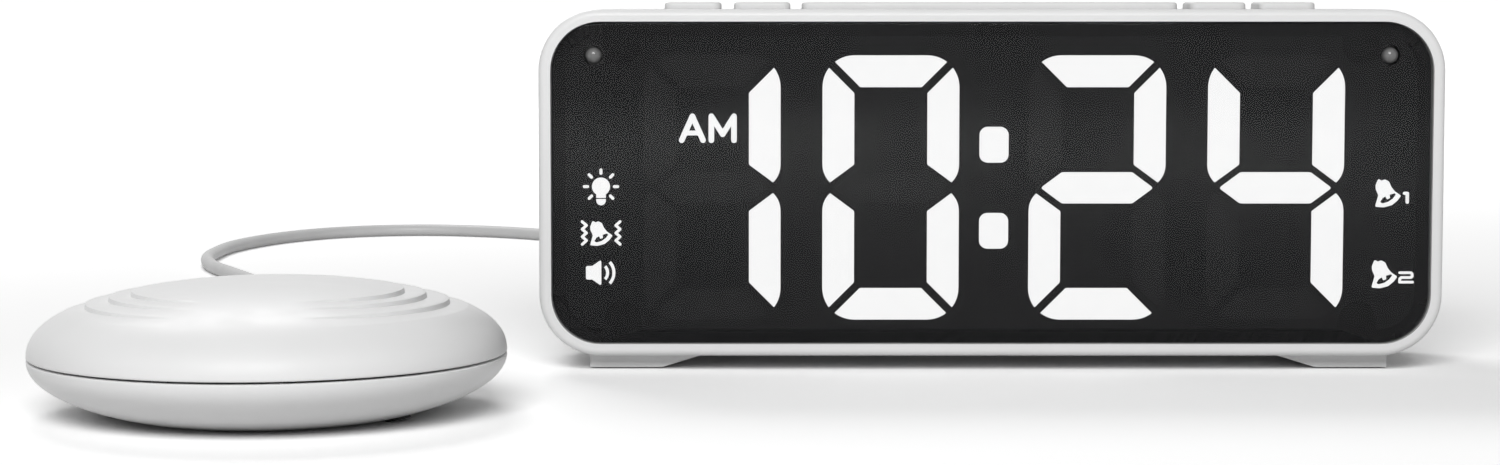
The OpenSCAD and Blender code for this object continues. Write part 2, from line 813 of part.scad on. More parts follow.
module door_screw_at() {
    translate([door_x, 0, door_z - door_w / 2 + 3]) children();
}

module speaker_slots() {
    rows = floor((speaker_r - 3) / slot_pitch);
    for (i = [-rows:rows]) {
        reach = sqrt(pow(speaker_r - 2, 2) - pow(i * slot_pitch, 2)) - slot_w;
        translate([speaker_x, 0, mid_z + i * slot_pitch]) stand(rear_y - 1)
            linear_extrude(wall + 2) stroke([-reach, 0], [reach, 0], slot_w);
    }
}

module screw(head_r, head_h, shank_r, shank_l) {
    // The head's underside is at 0, the shank runs down
    difference() {
        cylinder(r = head_r, h = head_h);
        for (a = [0, 90]) rotate(a) translate([0, 0, head_h])
            cube([head_r * 1.2, head_r * 0.28, head_h], center = true);
    }
    translate([0, 0, -shank_l]) cylinder(r = shank_r, h = shank_l + EPS);
}

module housing_screws() color("#b9bcc0") at_clock() at_posts()
    translate([0, post_seat_y + tower_floor, 0]) rotate([-90, 0, 0])
        screw(screw_head_r, 2, screw_r, tower_floor + 9);

// Buttons

module cap(b) {
    top = body_top + button_proud;
    translate([b.x, button_y, 0]) {
        translate([0, 0, roof_z - 0.5])
            soft_plate(b.y, button_d, button_round, top - roof_z + 0.5, button_edge);
        translate([0, 0, roof_z - CLEAR - flange_t]) linear_extrude(flange_t)
            round_outline(b.y + 2 * flange_w, button_d + 2 * flange_w, button_round);
        stem = button_board_z + tact_h + plunger_h + button_travel + plunger_gap;
        translate([0, 0, stem]) cylinder(r = stem_r, h = roof_z - 1 - stem);
    }
}
module snooze_bar() color("#e4e4e4") at_clock() cap(buttons[0]);
module outer_left_button() color("#e4e4e4") at_clock() cap(buttons[1]);
module inner_left_button() color("#e4e4e4") at_clock() cap(buttons[2]);
module inner_right_button() color("#e4e4e4") at_clock() cap(buttons[3]);
module outer_right_button() color("#e4e4e4") at_clock() cap(buttons[4]);

module button_board() color("#1d5c3a") at_clock() difference() {
    front = tower_y + 0.6;
    translate([-outer_button_x - 6, front, button_board_z - button_board_t])
        cube([2 * outer_button_x + 12, hang_y + 3.5 - front, button_board_t]);
    for (x = hang_x)
        translate([x, hang_y, button_board_z - 5]) cylinder(r = board_screw_r + 0.2, h = 10);
}

module tact_switches() color("#3a3a3c") at_clock()
    for (b = buttons) translate([b.x, button_y, button_board_z]) {
        translate([0, 0, tact_h / 2]) cube([6, 6, tact_h], center = true);
        cylinder(r = 1.6, h = tact_h + plunger_h);
    }

// Boards

module main_board() color("#1d5c3a") at_clock() difference() {
    translate([main_x - main_w / 2, main_front, main_z])
        cube([main_w, main_back - main_front, pcb_t]);
    for (x = main_hole_x, y = main_hole_y)
        translate([x, y, main_z - 1]) cylinder(r = board_screw_r + 0.2, h = 5);
}

main_top = main_z + pcb_t;
module board_components() color("#2b2b2e") at_clock() translate([main_x, 0, main_top]) {
    translate([6, main_front + 8, 0]) cube([14, 9, 1.6]);
    translate([-12, main_front + 9, 0]) cube([8, 5, 1.6]);
    translate([32, main_front + 10, 0]) cylinder(r = 4, h = 11);
    translate([24, main_front + 15, 0]) cylinder(r = 3, h = 8);
    translate([-22, main_front + 9, 0]) cylinder(r = 3, h = 8);
    translate([2, main_front + 18, 0]) cube([4, 3, 2]);
    translate([-5, main_front + 4, 0]) cube([7, 3, 2.5]);
}

module ribbon_cable() color("#c9c9c9") at_clock() {
    t = 0.9;
    y0 = board_y + pcb_t;
    y1 = main_front + 1.2;
    z0 = main_top + 12;
    translate([main_x + 20, 0, 0]) rotate([90, 0, 90]) linear_extrude(12) polygon([
        [y0, z0], [y1 - 1, z0], [y1, z0 - 1], [y1, main_top],
        [y1 + t, main_top], [y1 + t, z0 - 0.6], [y1 - 0.6, z0 + t], [y0, z0 + t]
    ]);
}

module board_screws() color("#b9bcc0") at_clock() {
    for (x = main_hole_x, y = main_hole_y) translate([x, y, main_top])
        screw(2.3, 1.4, board_screw_r, pcb_t + 4);
    for (x = hang_x) translate([x, hang_y, button_board_z - button_board_t]) mirror([0, 0, 1])
        screw(2.3, 1.4, board_screw_r, button_board_t + 5);
}

// Speaker, battery, sockets and switch

module speaker_frame() color("#4a4c50") at_clock() translate([speaker_x, speaker_y, mid_z])
    rotate([90, 0, 0]) difference() {
        union() {
            cylinder(r = speaker_r, h = speaker_flange);
            cylinder(r1 = speaker_r - 2, r2 = magnet_r + 2, h = basket_h);
        }
        translate([0, 0, -1]) cylinder(r = speaker_r - 4, h = 2);
        translate([0, 0, 0.9])
            cylinder(r1 = speaker_r - 5.5, r2 = magnet_r - 2, h = basket_h - 2.5);
    }

module speaker_cone() color("#232326") at_clock() translate([speaker_x, speaker_y, mid_z])
    rotate([90, 0, 0]) difference() {
        union() {
            translate([0, 0, 0.3]) cylinder(r = speaker_r - 4.3, h = 0.6);
            translate([0, 0, 0.3]) cylinder(r1 = speaker_r - 6.1, r2 = 5, h = 4);
        }
        translate([0, 0, 0.2]) cylinder(r1 = speaker_r - 7, r2 = 4, h = 3.4);
    }

module speaker_magnet() color("#8d9096") at_clock()
    translate([speaker_x, speaker_y - basket_h, mid_z]) rotate([90, 0, 0])
        cylinder(r = magnet_r, h = magnet_h);

module battery_door() color("#e6e6e6") at_clock() difference() {
    translate([door_x, 0, door_z]) stand(clock_d - door_t)
        soft_plate(door_w, door_w, 2, door_t, 0.3);
    door_screw_at() {
        rod(1.1, clock_d - door_t - 1, clock_d + 1);
        rod(2.1, clock_d - 0.9, clock_d + 1);
    }
    for (i = [-2:2]) translate([door_x + i * 3, clock_d, door_z + door_w / 2 - 5])
        cube([1.2, 0.8, 5], center = true);
}

module door_screw() color("#b9bcc0") at_clock() door_screw_at()
    translate([0, clock_d - 0.9, 0]) rotate([-90, 0, 0]) screw(1.9, 0.8, 0.9, 4.5);

module coin_cell() color("#c8cacd") at_clock() translate([door_x, 0, door_z]) {
    rod(cell_d / 2, clock_d - well_depth + 0.9, clock_d - well_depth + 4.1);
}

module cell_contacts() color("#c9b36a") at_clock() translate([door_x, 0, door_z]) {
    y0 = clock_d - well_depth;
    translate([-3, y0, -8]) cube([6, 0.8, 16]);
    for (s = [-1, 1]) translate([s * (cell_d / 2 + 0.7), y0 + 2, 0])
        cube([0.8, 4, 6], center = true);
}

module socket_body(bore_r, bore_l, w) {
    // The mouth is at the cover's outer face, the axis runs back
    difference() {
        union() {
            translate([-w / 2, rear_y - 14, main_top - socket_z])
                cube([w, 14 - CLEAR, 2 * (socket_z - main_top)]);
            rod(collar_r, rear_y - 1, clock_d - 0.4);
        }
        rod(bore_r, clock_d - 0.4 - bore_l, clock_d + 1);
    }
}

module power_inlet() color("#1c1c1e") at_clock() translate([inlet_x, 0, socket_z]) {
    socket_body(inlet_bore_r, inlet_bore_l, 10);
}

inlet_bore_l = 10;
jack_bore_r = 1.8;
jack_bore_l = 14.5;
module puck_socket() color("#1c1c1e") at_clock() translate([jack_x, 0, socket_z])
    socket_body(jack_bore_r, jack_bore_l, 10);

module mode_switch() color("#2e2e31") at_clock() translate([switch_x, 0, socket_z]) {
    translate([0, rear_y - 3, (main_top - socket_z + 3) / 2])
        cube([14, 5.6, 3 + socket_z - main_top], center = true);
}

module mode_knob() color("#1c1c1e") at_clock() translate([switch_x, 0, socket_z]) {
    translate([0, rear_y + wall / 2 - 0.1, 0]) cube([knob_w, wall, knob_h], center = true);
    for (i = [-1:1]) translate([i * 0.9, clock_d - 0.3, 0]) cube([0.4, 0.6, knob_h], center = true);
}

module skid(side) {
    in_foot = skid_outer - skid_foot;
    in_top = skid_outer - skid_top;
    difference() {
        translate([0, skid_front, 0]) rotate([90, 0, 0]) mirror([0, 0, 1]) linear_extrude(skid_l)
            polygon([[side * skid_outer, pad_proud], [side * in_foot, pad_proud],
                [side * in_top, foot_h], [side * skid_outer, foot_h]]);
        at_pads(side) cylinder(r = pad_r + 0.1, h = pad_t + 0.02);
    }
}
module at_pads(side) {
    for (y = [skid_front + 6, skid_front + skid_l - 6])
        translate([side * (skid_outer - skid_foot / 2), y, 0]) children();
}
module left_skid() color("#e2e2e2") at_clock() skid(-1);
module right_skid() color("#e2e2e2") at_clock() skid(1);
module foot_pads() color("#9a9a9a") at_clock()
    for (s = [-1, 1]) at_pads(s) cylinder(r = pad_r, h = pad_t);

// Puck

// Half outline of the dome, from the rim to the axis
function dome(r, h, n = 20) = [
    for (i = [0:n]) let (a = 90 * i / n)
        [r * pow(cos(a), 2 / puck_top_power[0]), h * pow(sin(a), 2 / puck_top_power[1])]
];

// Half outline of the dish, from the rim down to the flat base
function dish(r, base, h, n = 16) = [
    for (i = [0:n]) let (a = 90 * i / n)
        [base + (r - base) * pow(cos(a), 2 / puck_low_power[0]),
            -h * pow(sin(a), 2 / puck_low_power[1])]
];

// Height of the dish's surface at a radius
function dish_z(r) = puck_seam * (1 - pow(1 - pow((r - puck_base_r) / (puck_r - puck_base_r),
    puck_low_power[0]), 1 / puck_low_power[1]));

// A tilted ring that cuts one crescent scoop between two radii, deepest on one side of the puck:
// a short wall inside and a floor that meets the dome again outside
module crescent(from, to, side) {
    rise = dome_z(to) - dome_z(from) - step_depth / 2 + 1.5 * step_depth * to / from;
    translate([0, 0, dome_z(from) + step_depth / 2])
        rotate([0, side * asin(1.5 * step_depth / from), 0]) rotate_extrude()
            polygon([[from, 0], [from, 3], [to + 4, rise + 3], [to + 4, rise + 0.5], [to, rise]]);
}

module at_puck() {
    translate([puck_x, puck_y, 0]) children();
}

// Height of the dome's surface at a radius
function dome_z(r) = puck_seam + (puck_h - puck_seam)
    * pow(1 - pow(r / puck_r, puck_top_power[0]), 1 / puck_top_power[1]);

puck_boss_turn = [-140, -40, 90];
step_from = [27, 31.4, 36];
step_to = [30.6, 35.2, 39.7];

module puck_top_shell() color("#f2f2f2") at_puck() difference() {
    union() {
        difference() {
            translate([0, 0, puck_seam]) rotate_extrude()
                polygon(concat([[0, seam_line], [puck_r - 0.05, seam_line]],
                    [for (p = dome(puck_r, puck_h - puck_seam, 32)) if (p.y > seam_line * 1.5) p]));
            translate([0, 0, puck_seam]) rotate_extrude()
                polygon(concat([[0, -1], [puck_r - puck_wall, -1]],
                    dome(puck_r - puck_wall, puck_h - puck_seam - puck_wall)));
        }
        for (a = puck_boss_turn) rotate(a) translate([puck_boss_at, 0, puck_seam - 4.6])
            cylinder(r = puck_boss_r, h = dome_z(puck_boss_at) - puck_seam + 4);
    }
    for (a = puck_boss_turn) rotate(a) translate([puck_boss_at, 0, puck_seam - 5])
        cylinder(r = board_pilot_r, h = 8);
    for (i = [0:2], side = [-1, 1]) crescent(step_from[i], step_to[i], side);
}

module puck_bottom_shell() color("#ececec") at_puck() difference() {
    union() {
        difference() {
            translate([0, 0, puck_seam]) rotate_extrude()
                polygon(concat([[0, -seam_line]], [[puck_r - 0.05, -seam_line]],
                    [for (p = dish(puck_r, puck_base_r, puck_seam, 26)) if (p.y < -seam_line * 1.5) p],
                    [[0, -puck_seam]]));
            translate([0, 0, puck_seam]) rotate_extrude()
                polygon(concat([[0, 1], [puck_r - puck_wall, 1]],
                    dish(puck_r - puck_wall, puck_base_r - 1, puck_seam - puck_wall),
                    [[0, -puck_seam + puck_wall]]));
        }
        // A low lip that centres the upper shell
        translate([0, 0, puck_seam]) rotate_extrude()
            translate([puck_r - puck_wall - 1.4, -2.2]) square([1.2, 3.6]);
        translate([0, 0, puck_seam]) rotate_extrude()
            translate([puck_r - puck_wall - 1.4, -2.2]) square([2, 1.2]);
        for (a = puck_boss_turn) rotate(a) translate([puck_boss_at, 0, 1.6])
            cylinder(r = puck_boss_r + 1.2, h = puck_seam - 4.8 - 1.6);
    }
    for (a = puck_boss_turn) rotate(a) translate([puck_boss_at, 0, 0]) {
        translate([0, 0, -1]) cylinder(r = 2.5, h = 5.8);
        cylinder(r = board_screw_r + 0.2, h = 12);
    }
    at_puck_feet() translate([0, 0, -3]) cylinder(r = foot_r + 0.1, h = foot_sunk + 3);
    translate([0, relief_in, exit_z]) rod(relief_r + 0.1, 0, 20);
}

// Puts children on the sloping underside, where each foot lies
module at_puck_feet() {
    for (a = [-166, -24, 112])
        rotate(a) translate([foot_at, 0, dish_z(foot_at)]) rotate([0, -foot_tilt, 0]) children();
}

module puck_feet() color("#333335") at_puck() intersection() {
    at_puck_feet() translate([0, 0, -foot_proud]) cylinder(r = foot_r, h = foot_sunk + foot_proud);
    cylinder(r = puck_r, h = puck_seam);
}

module puck_screws() color("#b9bcc0") at_puck()
    for (a = puck_boss_turn) rotate(a) translate([puck_boss_at, 0, 4.8]) mirror([0, 0, 1])
        screw(2.2, 1.4, board_screw_r, 7);

// Puts children on the motor's axis, which runs along X
module on_motor() {
    at_puck() translate([0, 0, motor_z]) rotate([0, 90, 0]) children();
}

module motor_can() color("#b4b7ba") on_motor() difference() {
    union() {
        translate([0, 0, motor_back]) cylinder(r = motor_r, h = motor_l);
        translate([0, 0, motor_back + motor_l - EPS]) cylinder(r = 3, h = 1.6);
        translate([0, 0, motor_back - 1.5]) cylinder(r = 3.4, h = 1.6);
    }
    translate([0, 0, motor_back + 4]) cylinder(r = shaft_r + shaft_run, h = motor_l);
}

module motor_bracket() color("#d8d8d8") at_puck() difference() {
    translate([motor_back + 2, -motor_r - 2, puck_wall])
        cube([bracket_l, 2 * motor_r + 4, motor_z - puck_wall + motor_r + 1.2]);
    translate([motor_back, 0, motor_z]) rotate([0, 90, 0])
        cylinder(r = motor_r + 0.05, h = motor_l);
}

module motor_shaft() color("#d0d2d5") on_motor()
    translate([0, 0, motor_back + 4.3])
        cylinder(r = shaft_r, h = weight_x + weight_l + 0.5 - motor_back - 4.3);

module eccentric_weight() color("#8c7a4e") on_motor() translate([0, 0, weight_x]) difference() {
    union() {
        intersection() {
            cylinder(r = weight_r, h = weight_l);
            translate([0, -weight_r - 1, -1]) cube([weight_r + 1, 2 * weight_r + 2, weight_l + 2]);
        }
        cylinder(r = 3, h = weight_l);
    }
    translate([0, 0, -1]) cylinder(r = shaft_r, h = weight_l + 2);
}

module motor_leads() color("#a8343a") at_puck()
    for (s = [-1, 1]) {
        lift = [0, 0, s * 0.8];
        route = [[-1.4, relief_in, exit_z] + lift, [-2.6, relief_in - 3.3, exit_z - 0.3] + lift,
            [-6.2, relief_in - 9.7, 5.4] + lift, [-11.4, relief_in - 17.3, 4.2] + lift,
            [-17, 14.8, 4.2] + lift,
            [-23.5, 11.5, 5.6] + lift, [-28, 6, 8.6] + lift, [-27, s * 0.4 + 1, motor_z - 1] + lift,
            [motor_back - 3, 0, motor_z + s * 1.5], [motor_back - 1.52, 0, motor_z + s * 1.5]];
        tube(smooth_path(route, 3), 0.6, 6);
    }

module strain_relief() color("#e6e6e6") translate([puck_x, 0, exit_z]) {
    intersection() {
        rod(relief_r + 1.2, relief_y - 4.6, relief_y - 3);
        translate([0, relief_y, 4.7]) cube([20, 20, 10], center = true);
    }
    rod(relief_r, relief_y - 4.6, relief_y + 5);
    translate([0, relief_y + 5, 0]) rotate([-90, 0, 0])
        cylinder(r1 = relief_r, r2 = cord_d / 2 + 0.5, h = relief_l - 5);
    for (i = [0:3]) rod(relief_r - 0.1 - 0.28 * i, relief_y + 5.5 + 2.6 * i, relief_y + 7 + 2.6 * i);
}

// Cord

// Middle line of the coil: in on the lower layer, up at the innermost half turn, out above it
function coil_point(turn) =
    let (
        n = coil_loops,
        r = coil_r - coil_step * min(turn, n - turn),
        climb = max(0, min(1, (turn - n / 2 + 0.25) * 2)),
        a = 180 + 360 * turn
    )
    [coil_at.x + r * cos(a), coil_at.y + r * sin(a), coil_z + coil_step * climb];
coil_path = concat(
    [coil_in],
    [for (k = [0:coil_loops * loop_rings]) coil_point(k / loop_rings)],
    [coil_out]
);

// Least gap between two places of the coil that are at least half a loop apart
coil_gap = min([
    for (i = [0:len(coil_path) - 1])
        for (j = [i + loop_rings / 2:1:len(coil_path) - 1])
            norm(coil_path[i] - coil_path[j]) - cord_d
]);

cord_path = smooth_path(concat([relief_tip], cord_route, [coil_in]), 2);
tail_path = smooth_path(concat([plug_end], tail_route, [coil_out]), 2);
echo(coil_gap_mm = coil_gap);
echo(cord_length_mm = path_length(cord_path), coil_length_mm = path_length(coil_path),
    tail_length_mm = path_length(tail_path));

module puck_cord() color("#dcdcdc") tube(cord_path, cord_d / 2, 8);
module cord_coil() color("#dcdcdc") {
    tube(coil_path, cord_d / 2, 6);
}

// A flat strap round the bundle of the coil, a third of a turn from where the cord comes in
module cord_tie() color("#3a3a3c") translate([coil_at.x, coil_at.y, 0]) rotate(60)
    rotate([90, 0, 0]) linear_extrude(tie_w, center = true) {
        x0 = coil_r - coil_step * coil_loops / 2 - cord_d / 2 - 0.3;
        x1 = coil_r - coil_step / 3 + cord_d / 2 + 0.4;
        h = coil_z + coil_step + cord_d / 2 + 0.3 - tie_t;
        translate([(x0 + x1) / 2, tie_t + h / 2]) difference() {
            round_outline(x1 - x0 + 2 * tie_t, h + 2 * tie_t, 2.6);
            round_outline(x1 - x0, h, 1.7);
        }
    }
module plug_lead() color("#dcdcdc") tube(tail_path, cord_d / 2, 8);

module shaker_plug() color("#d4d4d4") at_clock() translate([jack_x, 0, socket_z]) {
    rod(plug_r, clock_d + 0.2, clock_d + 12);
    translate([0, clock_d + 12, 0]) rotate([-90, 0, 0])
        cylinder(r1 = plug_r - 0.6, r2 = cord_d / 2 + 0.5, h = plug_l - 12);
    rod(1.75, clock_d - 13.6, clock_d + 1);
}

front_housing();
display_lens();
lens_tape();
segment_mask();
hours_tens_lit();
hours_units_lit();
minutes_tens_lit();
minutes_units_lit();
dark_segments();
colon_dots();
am_indicator();
alert_icons();
alarm_icons();
led_board();
display_leds();
flash_led_left();
flash_led_right();
main_board();
board_components();
ribbon_cable();
button_board();
tact_switches();
board_screws();
snooze_bar();
outer_left_button();
inner_left_button();
inner_right_button();
outer_right_button();
rear_cover();
housing_screws();
speaker_frame();
speaker_cone();
speaker_magnet();
battery_door();
door_screw();
coin_cell();
cell_contacts();
power_inlet();
puck_socket();
mode_switch();
mode_knob();
left_skid();
right_skid();
foot_pads();
puck_top_shell();
puck_bottom_shell();
motor_can();
motor_bracket();
motor_shaft();
eccentric_weight();
motor_leads();
puck_screws();
puck_feet();
strain_relief();
puck_cord();
cord_coil();
cord_tie();
plug_lead();
shaker_plug();
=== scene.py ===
"""Bed shaker alarm clock: the looks of the clock, its puck and the cord between them.

Lengths are in metres unless a comment says millimetres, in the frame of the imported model:
+X runs to the viewer's right, +Y to the back of the clock, +Z up from the table.
"""

import json
import math

import bmesh
import bpy
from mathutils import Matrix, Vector


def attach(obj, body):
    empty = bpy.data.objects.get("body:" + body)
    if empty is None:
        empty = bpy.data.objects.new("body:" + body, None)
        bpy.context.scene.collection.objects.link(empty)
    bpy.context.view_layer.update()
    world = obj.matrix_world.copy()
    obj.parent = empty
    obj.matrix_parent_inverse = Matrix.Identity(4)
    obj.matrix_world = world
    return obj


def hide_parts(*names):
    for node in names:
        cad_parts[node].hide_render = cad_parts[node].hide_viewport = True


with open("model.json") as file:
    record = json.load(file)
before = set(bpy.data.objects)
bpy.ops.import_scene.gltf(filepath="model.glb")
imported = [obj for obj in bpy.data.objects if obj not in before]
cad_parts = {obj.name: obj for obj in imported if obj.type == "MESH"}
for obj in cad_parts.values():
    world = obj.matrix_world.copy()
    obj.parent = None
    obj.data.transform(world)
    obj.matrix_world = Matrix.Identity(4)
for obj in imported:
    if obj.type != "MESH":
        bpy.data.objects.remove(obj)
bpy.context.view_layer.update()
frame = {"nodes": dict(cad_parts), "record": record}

# The photographer's camera, fitted to edges of the photo
CAMERA_PLACE = (-0.00491, -0.6137, 0.08306)
CAMERA_TILT_DOWN = 4
CAMERA_LENS = 70.46
CAMERA_SHIFT = -0.0207

# Sizes of the puck, the same as in the part's source
PUCK_AT = Vector((-0.101, -0.0302, 0.0))
PUCK_R = 0.0474
PUCK_TOP = 0.0269
PUCK_SEAM = 0.0119
PUCK_BASE_R = 0.0261
PUCK_WALL = 0.002
INNER_BASE_R = PUCK_BASE_R - 0.001
# Powers of the rounded sections: the first along the radius, the second along the height
DOME_POWERS = (2.11, 2.385)
DISH_POWERS = (1.2, 2.19)

# The seam between the shells and the small edge that each shell has there
SEAM_HALF_GAP = 0.00025
EDGE_WIDTH = 0.0002
EDGE_HEIGHT = 0.00015
EDGE_INSET = 0.00002

# Crescent scoops in the dome: start and end of each by radius, and rings of points about both
CRESCENTS = ((0.027, 0.0306), (0.0314, 0.0352), (0.036, 0.0397))
CRESCENT_DEPTH = 0.0009
RINGS_AT_START = (-0.0002, 0.00001, 0.0004)
RINGS_AT_END = (-0.0004, -0.00001, 0.0003)
# Points at most this far below the dome belong to its outside
SKIN_DEPTH = 0.0001

# How finely the puck is divided
DOME_STEPS = 64
DISH_STEPS = 56
INSIDE_STEPS = 24
TURN_STEPS = 192
SHARP_ANGLE = 50

# The cord; its exit is where it leaves the puck's strain relief
CORD_R = 0.002

# Its route over the table in millimetres: out of the puck, round behind it, to the coil
CORD_ROUTE = [
    (-101, 29.8, 7), (-101.2, 38, 6.6), (-101.6, 48, 4.8), (-102.5, 59, 2.9),
    (-104.2, 74, 2.1), (-107.5, 94, 2), (-112, 115, 2), (-118, 140, 2),
    (-126, 166, 2), (-135, 191, 2), (-145, 216, 2), (-155, 239, 2),
    (-163, 257, 2), (-169, 274, 2), (-173, 293, 2), (-174, 313, 2),
    (-173, 334, 2), (-168, 356, 2), (-160, 375, 2), (-149, 390, 2),
    (-134, 400, 2), (-117, 403, 2), (-100, 399, 2), (-84, 390, 2),
    (-69, 377, 2), (-55, 360, 2), (-43, 340, 2), (-34, 318, 2),
    (-27, 294, 2), (-21, 268, 2), (-17, 242, 2), (-14, 216, 2),
    (-12.4, 190, 2.1), (-12, 168, 2.7), (-12, 154, 3), (-12, 144, 3.05),
]
# From the coil up to the plug in the clock's back, in millimetres
PLUG_ROUTE = [
    (-12, 136, 7.55), (-12, 132, 8), (-12, 127, 9.2), (-12, 120, 12.4),
    (-12, 113, 15.8), (-12, 106, 17.6), (-12, 97.6, 18),
]
# The coil in millimetres: middle, outer radius, step between loops and layers, lower layer
COIL_AT = (19.5, 140.0)
COIL_R = 31.5
COIL_STEP = 4.5
COIL_Z = 3.05
COIL_LOOPS = 7
COIL_POINTS = 24

# The room's light, and the table's shade where it only throws light back and where it is seen
ROOM_LIGHT = 0.15
TABLE_BOUNCE = 0.75
TABLE_SEEN = 1.33
TABLE_HALF_SIZE = 40.0
# Distances from the origin between which the table fades to pure white
TABLE_FADE = (0.2, 1.5)


# Camera and cord


def place_camera():
    """The photographer's place: as high as the clock's top, a little left of the middle."""
    data = bpy.data.cameras.new("photographer")
    data.lens = CAMERA_LENS
    data.sensor_width = 36.0
    data.shift_y = CAMERA_SHIFT
    data.clip_end = 200.0
    camera = bpy.data.objects.new("photographer", data)
    camera.location = CAMERA_PLACE
    camera.rotation_euler = (math.radians(90 - CAMERA_TILT_DOWN), 0.0, 0.0)
    bpy.context.scene.collection.objects.link(camera)
    bpy.context.scene.camera = camera


def coil_place(turn):
    """A point of the coil's middle line: in on the lower layer, out on the upper one."""
    radius = COIL_R - COIL_STEP * min(turn, COIL_LOOPS - turn)
    climb = max(0.0, min(1.0, (turn - COIL_LOOPS / 2 + 0.25) * 2))
    angle = math.radians(180 + 360 * turn)
    return (
        COIL_AT[0] + radius * math.cos(angle),
        COIL_AT[1] + radius * math.sin(angle),
        COIL_Z + COIL_STEP * climb,
    )


def cord_points():
    """The whole middle line of the cord, from the puck to the plug, in metres."""
    coil = [coil_place(k / COIL_POINTS) for k in range(COIL_LOOPS * COIL_POINTS + 1)]
    return [Vector(p) / 1000 for p in CORD_ROUTE + coil + PLUG_ROUTE]


def smooth_spline(data, points):
    """Runs a curve through points; each handle lies along the line between its neighbours."""
    spline = data.splines.new("BEZIER")
    spline.bezier_points.add(len(points) - 1)
    last = len(points) - 1
    for i, (knot, place) in enumerate(zip(spline.bezier_points, points)):
        before = points[max(i - 1, 0)]
        after = points[min(i + 1, last)]
        along = (after - before).normalized()
        knot.handle_left_type = "FREE"
        knot.handle_right_type = "FREE"
        knot.co = place
        knot.handle_left = place - along * (place - before).length / 3
        knot.handle_right = place + along * (after - place).length / 3


def shaker_cord(jacket):
    """The one cord between puck and clock, an open curve with a round section."""
    data = bpy.data.curves.new("shaker_cord", "CURVE")
    data.dimensions = "3D"
    data.bevel_depth = CORD_R
    data.bevel_resolution = 5
    data.resolution_u = 4
    data.render_resolution_u = 4
    data.use_fill_caps = True
    smooth_spline(data, cord_points())
    data.materials.append(jacket)
    cord = bpy.data.objects.new("shaker_cord", data)
    bpy.context.scene.collection.objects.link(cord)
    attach(cord, "clock_and_puck")
    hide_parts("puck_cord", "cord_coil", "plug_lead")


# Materials


def new_finish(name):
    """An empty material with its tree and its one shader."""
    material = bpy.data.materials.new(name)
    material.use_nodes = True
    tree = material.node_tree
    return material, tree, tree.nodes["Principled BSDF"]


def noise(tree, size, detail=2.0, stretch=(1.0, 1.0, 1.0)):
    """Noise on object coordinates whose spots are about this size, in metres."""
    place = tree.nodes.new("ShaderNodeTexCoord")
    mapping = tree.nodes.new("ShaderNodeMapping")
    mapping.inputs["Scale"].default_value = stretch
    texture = tree.nodes.new("ShaderNodeTexNoise")
    texture.inputs["Scale"].default_value = 1.0 / size
    texture.inputs["Detail"].default_value = detail
    tree.links.new(place.outputs["Object"], mapping.inputs["Vector"])
    tree.links.new(mapping.outputs["Vector"], texture.inputs["Vector"])
    return texture.outputs["Fac"]


def tint(tree, factor, low, high, start=0.35, end=0.65):
    """Blends two colours by a pattern and paints the surface with them."""
    ramp = tree.nodes.new("ShaderNodeValToRGB")
    ramp.color_ramp.elements[0].position = start
    ramp.color_ramp.elements[0].color = (*low, 1.0)
    ramp.color_ramp.elements[1].position = end
    ramp.color_ramp.elements[1].color = (*high, 1.0)
    tree.links.new(factor, ramp.inputs["Fac"])
    tree.links.new(ramp.outputs["Color"], tree.nodes["Principled BSDF"].inputs["Base Color"])


def polish(tree, factor, low, high):
    """Varies the roughness between two values by a pattern."""
    span = tree.nodes.new("ShaderNodeMapRange")
    span.inputs["From Min"].default_value = 0.3
    span.inputs["From Max"].default_value = 0.7
    span.inputs["To Min"].default_value = low
    span.inputs["To Max"].default_value = high
    tree.links.new(factor, span.inputs["Value"])
    tree.links.new(span.outputs["Result"], tree.nodes["Principled BSDF"].inputs["Roughness"])


def relief(tree, factor, depth):
    """Raises the surface by a pattern, this deep in metres."""
    bump = tree.nodes.new("ShaderNodeBump")
    bump.inputs["Strength"].default_value = 1.0
    bump.inputs["Distance"].default_value = depth
    tree.links.new(factor, bump.inputs["Height"])
    tree.links.new(bump.outputs["Normal"], tree.nodes["Principled BSDF"].inputs["Normal"])


def moulded(name, shade, rough, grain=0.0004, depth=0.00001, drift=0.02, specular=0.5):
    """Moulded plastic or rubber: a fine spark-eroded grain and a slow drift of its shade."""
    material, tree, shader = new_finish(name)
    low = [c * (1 - drift) for c in shade]
    high = [min(1.0, c * (1 + drift)) for c in shade]
    tint(tree, noise(tree, 0.02), low, high)
    polish(tree, noise(tree, 0.004, 3.0), rough * 0.88, rough * 1.12)
    relief(tree, noise(tree, grain, 3.0), depth)
    shader.inputs["Specular IOR Level"].default_value = specular
    return material


def white_shell():
    """The clock's case: satin white with hardly any grain."""
    return moulded(
        "white_shell", (0.80, 0.80, 0.80), 0.34, grain=0.0005, depth=0.000006, drift=0.01,
        specular=0.25,
    )


def gloss_white_puck():
    """The puck: a little whiter, its grain broader and shallower."""
    return moulded(
        "gloss_white_puck", (0.82, 0.82, 0.82), 0.38, grain=0.0012, depth=0.000004, drift=0.01,
        specular=0.2,
    )


def smoked_lens():
    """Dark acrylic: its one shader is part clear, so the lit bars shine through."""
    material, tree, shader = new_finish("smoked_lens")
    tint(tree, noise(tree, 0.05), (0.010, 0.010, 0.011), (0.012, 0.012, 0.013))
    polish(tree, noise(tree, 0.01, 2.0), 0.05, 0.08)
    shader.inputs["Alpha"].default_value = 0.4
    shader.inputs["Specular IOR Level"].default_value = 0.25
    return material


